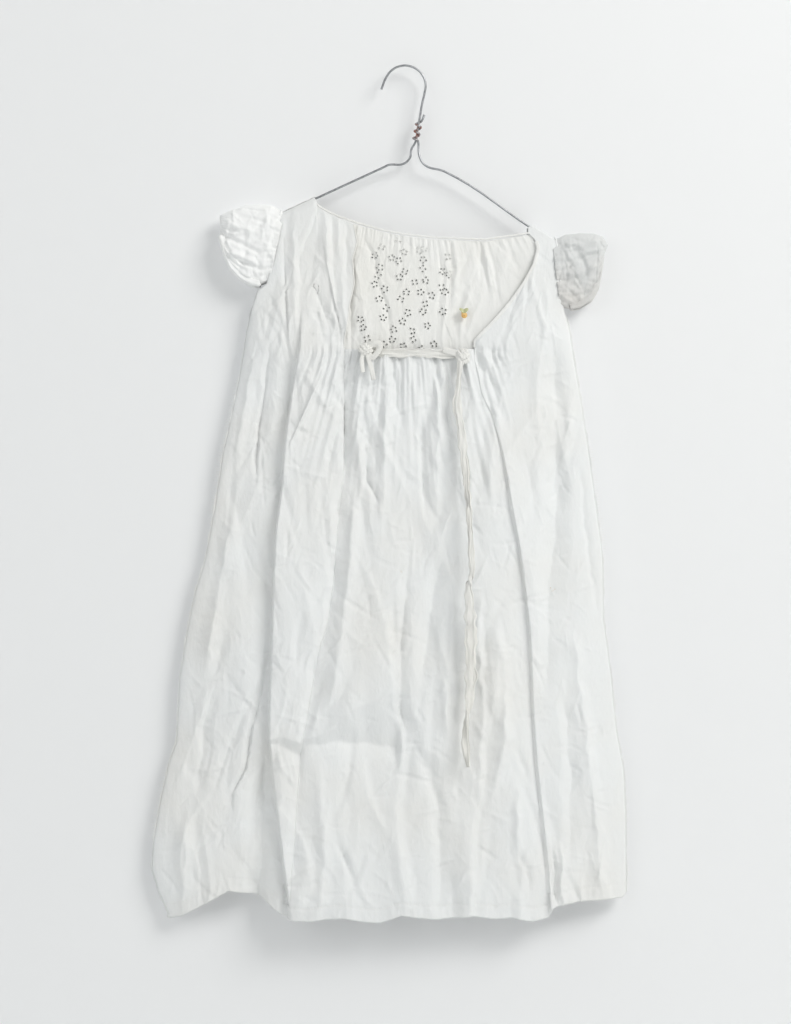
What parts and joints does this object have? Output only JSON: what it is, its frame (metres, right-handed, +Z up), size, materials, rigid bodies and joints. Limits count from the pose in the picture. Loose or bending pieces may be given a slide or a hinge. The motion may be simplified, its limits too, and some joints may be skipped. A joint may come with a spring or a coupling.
{
  "type": "patient gown",
  "caption": "Short-sleeved cotton gown with an eyelet yoke, a waist tie and a gathered skirt, hung on a bent wire hanger.",
  "frame": {"origin": "top of the inside of the hanger's hook, where the nail or rail holds it", "axes": "+Z up, the gown's front faces -Y, +X to the viewer's right"},
  "size_m": [0.5127, 0.0533, 0.9023],
  "materials": {
    "cotton": "matt, crumpled",
    "yoke_cotton": "matt, embroidered",
    "tie_cotton": "matt, twisted",
    "thread": "overlocked stitching",
    "wire": "galvanised, dull",
    "bud_ribbon": "satin ribbon",
    "leaf_ribbon": "satin ribbon"
  },
  "bodies": {
    "hanger_and_bodice": {"hanger_wire": "wire", "neck_binding_front": "cotton", "neck_binding_back": "cotton", "bodice_left_fill": "yoke_cotton", "yoke": "yoke_cotton", "bodice_right_fill": "yoke_cotton", "side_front_left": "cotton", "side_front_right": "cotton", "back_bodice": "cotton", "shoulder_left": "thread", "shoulder_right": "thread", "armhole_left": "cotton", "armhole_right": "cotton", "waist_band": "cotton", "knot_right": "tie_cotton", "knot_left": "tie_cotton", "knot_loop_left": "tie_cotton", "rosebud": "bud_ribbon", "rosebud_leaf": "leaf_ribbon", "side_seam_left_bodice": "thread", "side_seam_right_bodice": "thread"},
    "skirt": {"skirt_front": "cotton", "skirt_side_left": "cotton", "skirt_side_right": "cotton", "skirt_back": "cotton", "hem_front": "cotton", "hem_back": "cotton", "side_seam_left_skirt": "thread", "side_seam_right_skirt": "thread"},
    "sleeve_left": {"sleeve_left": "cotton", "cuff_left": "cotton"},
    "sleeve_right": {"sleeve_right": "cotton", "cuff_right": "cotton"},
    "tie_tops": {"tie_top": "tie_cotton", "tie_tail_long": "tie_cotton", "tie_tail_short": "tie_cotton"},
    "tie": {"tie_long": "tie_cotton"}
  },
  "joints": [
    {"name": "skirt_swing", "type": "hinge", "parent": "hanger_and_bodice", "child": "skirt", "pos_m": [0, -0.018, -0.312], "axis": [-1, 0, 0], "range_deg": [0, 40]},
    {"name": "sleeve_left_lift", "type": "hinge", "parent": "hanger_and_bodice", "child": "sleeve_left", "pos_m": [-0.133, 0, -0.1505], "axis": [0, 1, 0], "range_deg": [0, 35]},
    {"name": "sleeve_right_lift", "type": "hinge", "parent": "hanger_and_bodice", "child": "sleeve_right", "pos_m": [0.161, 0, -0.179], "axis": [0, -1, 0], "range_deg": [0, 35]},
    {"name": "ties_follow_skirt", "type": "hinge", "parent": "hanger_and_bodice", "child": "tie_tops", "pos_m": [0, -0.024, -0.317], "axis": [-1, 0, 0], "range_deg": [0, 40]},
    {"name": "tie_sway", "type": "hinge", "parent": "tie_tops", "child": "tie", "pos_m": [0.0553, -0.024, -0.3302], "axis": [0, 1, 0], "range_deg": [-18, 18]}
  ],
  "couplings": [
    {"joint": "ties_follow_skirt", "follows": "skirt_swing", "ratio": 1}
  ]
}
